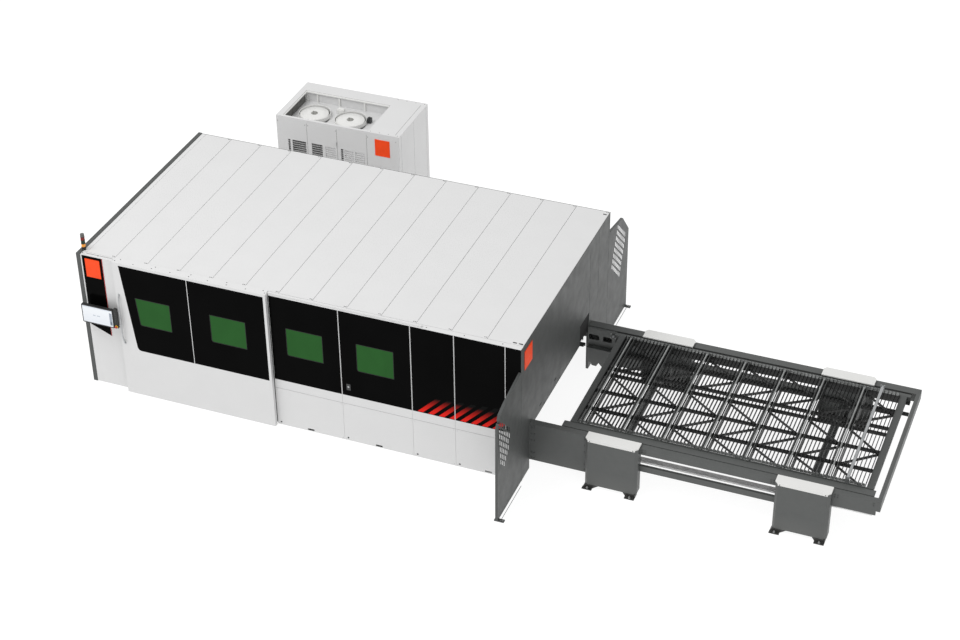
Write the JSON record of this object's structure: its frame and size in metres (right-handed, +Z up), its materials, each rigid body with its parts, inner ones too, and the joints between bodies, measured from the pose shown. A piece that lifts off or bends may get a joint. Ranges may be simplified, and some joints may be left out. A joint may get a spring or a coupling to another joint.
{
  "type": "fiber laser cutting machine",
  "caption": "Enclosed fiber laser cutter with glazed sliding door, green safety windows, operator panel, shuttle table with slatted exchange pallets on lift columns, and a rear supply cabinet",
  "frame": {"origin": "centre of the whole machine's footprint, at floor level", "axes": "+X along the machine from the operator end towards the shuttle table; +Y from the operator side to the back; +Z up"},
  "size_m": [12.47, 7.462, 2.686],
  "materials": {
    "panel_white": "powder coat, light grey, satin",
    "panel_dark": "powder coat, dark grey, satin",
    "frame_dark": "painted welded steel",
    "table_dark": "painted steel beams and boxes",
    "cap_light": "folded light grey covers",
    "facing_black": "back-painted black facing",
    "window_green": "laser safety window",
    "sign_red": "plain coloured plate",
    "stripe_red": "printed stripes",
    "foot_black": "black painted plate",
    "steel_bare": "ground steel",
    "slat_steel": "used flat bar",
    "pallet_steel": "welded steel frame",
    "wheel_steel": "turned steel",
    "bed_grey": "painted casting",
    "gantry_alu": "machined and anodised",
    "case_black": "moulded housing",
    "screen_glass": "touch display",
    "key_plastic": "keys and collar",
    "estop_red": "palm button",
    "lens_red": "signal lens",
    "lens_amber": "signal lens",
    "lens_green": "signal lens",
    "galvanised": "galvanised sheet"
  },
  "bodies": {
    "machine": {"back_panels": "panel_white", "cabin_frame": "frame_dark", "cabin_tracks": "frame_dark", "cabinet_case": "panel_white", "cabinet_units": "galvanised", "column_caps": "cap_light", "column_feet": "foot_black", "control_facing": "facing_black", "door_rail": "cap_light", "drive_guard": "table_dark", "end_wall": "panel_dark", "extraction_duct": "galvanised", "fan_mounts": "cap_light", "front_facing": "facing_black", "front_pane": "window_green", "front_panels": "panel_white", "hmi_bracket": "case_black", "left_slab": "panel_dark", "lift_columns": "table_dark", "machine_bed": "bed_grey", "media_duct": "galvanised", "red_stripes": "stripe_red", "roof_panels": "panel_white", "scrap_trays": "galvanised", "sign_plates": "sign_red", "table_beams": "table_dark", "tower_body": "case_black", "tower_lens_amber": "lens_amber", "tower_lens_green": "lens_green", "tower_lens_red": "lens_red", "wing_front": "panel_dark", "wing_rear": "panel_dark", "x_rails": "steel_bare"},
    "sliding_door": {"door_panel": "panel_white", "door_facing": "facing_black", "door_panes": "window_green", "door_handle": "steel_bare"},
    "service_door": {"service_panel": "panel_white", "service_facing": "facing_black", "service_pane": "window_green", "service_latch": "case_black"},
    "hmi": {"hmi_case": "case_black", "hmi_screen": "screen_glass", "hmi_keys": "key_plastic"},
    "emergency_stop": {"hmi_estop": "estop_red"},
    "gantry": {"gantry_beam": "gantry_alu"},
    "carriage": {"y_carriage": "gantry_alu"},
    "head": {"cutting_head": "gantry_alu"},
    "lift": {"lift_carriage": "table_dark"},
    "pallet_a": {"pallet_a_frame": "pallet_steel", "pallet_a_slats": "slat_steel", "pallet_a_bar": "steel_bare", "pallet_a_wheels": "wheel_steel"},
    "pallet_b": {"pallet_b_frame": "pallet_steel", "pallet_b_slats": "slat_steel", "pallet_b_wheels": "wheel_steel"},
    "fan_left_rotor": {"fan_left": "cap_light"},
    "fan_right_rotor": {"fan_right": "cap_light"},
    "cabinet_hatch": {"cabinet_door": "panel_white"}
  },
  "joints": [
    {"name": "door_slide", "type": "slide", "parent": "machine", "child": "sliding_door", "axis": [1, 0, 0], "range_m": [0, 2.45]},
    {"name": "service_door_hinge", "type": "hinge", "parent": "machine", "child": "service_door", "pos_m": [-0.7135, -2.759, 1.5], "axis": [0, 0, -1], "range_deg": [-100, 0]},
    {"name": "hmi_swivel", "type": "hinge", "parent": "machine", "child": "hmi", "pos_m": [-5.905, -2.834, 1.425], "axis": [0, 0, -1], "range_deg": [0, 18]},
    {"name": "emergency_stop_press", "type": "slide", "parent": "hmi", "child": "emergency_stop", "axis": [0, 1, 0], "range_m": [0, 0.004], "stiffness_N_per_m": 1500},
    {"name": "gantry_travel", "type": "slide", "parent": "machine", "child": "gantry", "axis": [1, 0, 0], "range_m": [0, 4.1]},
    {"name": "carriage_travel", "type": "slide", "parent": "gantry", "child": "carriage", "axis": [0, 1, 0], "range_m": [-1, 1]},
    {"name": "head_height", "type": "slide", "parent": "carriage", "child": "head", "axis": [0, 0, 1], "range_m": [-0.1, 0]},
    {"name": "table_lift", "type": "slide", "parent": "machine", "child": "lift", "axis": [0, 0, 1], "range_m": [-0.208, 0]},
    {"name": "upper_pallet_travel", "type": "slide", "parent": "lift", "child": "pallet_a", "axis": [-1, 0, 0], "range_m": [0, 0.5]},
    {"name": "lower_pallet_travel", "type": "slide", "parent": "machine", "child": "pallet_b", "axis": [1, 0, 0], "range_m": [0, 5.55]},
    {"name": "fan_left_spin", "type": "hinge", "parent": "machine", "child": "fan_left_rotor", "pos_m": [-4.93265, 2.972, 2.07], "axis": [0, 0, 1], "continuous": true},
    {"name": "fan_right_spin", "type": "hinge", "parent": "machine", "child": "fan_right_rotor", "pos_m": [-4.2571, 2.972, 2.07], "axis": [0, 0, 1], "continuous": true},
    {"name": "cabinet_door_hinge", "type": "hinge", "parent": "machine", "child": "cabinet_hatch", "pos_m": [-4.28945, 2.466, 1.1], "axis": [0, 0, -1], "range_deg": [0, 100]}
  ]
}
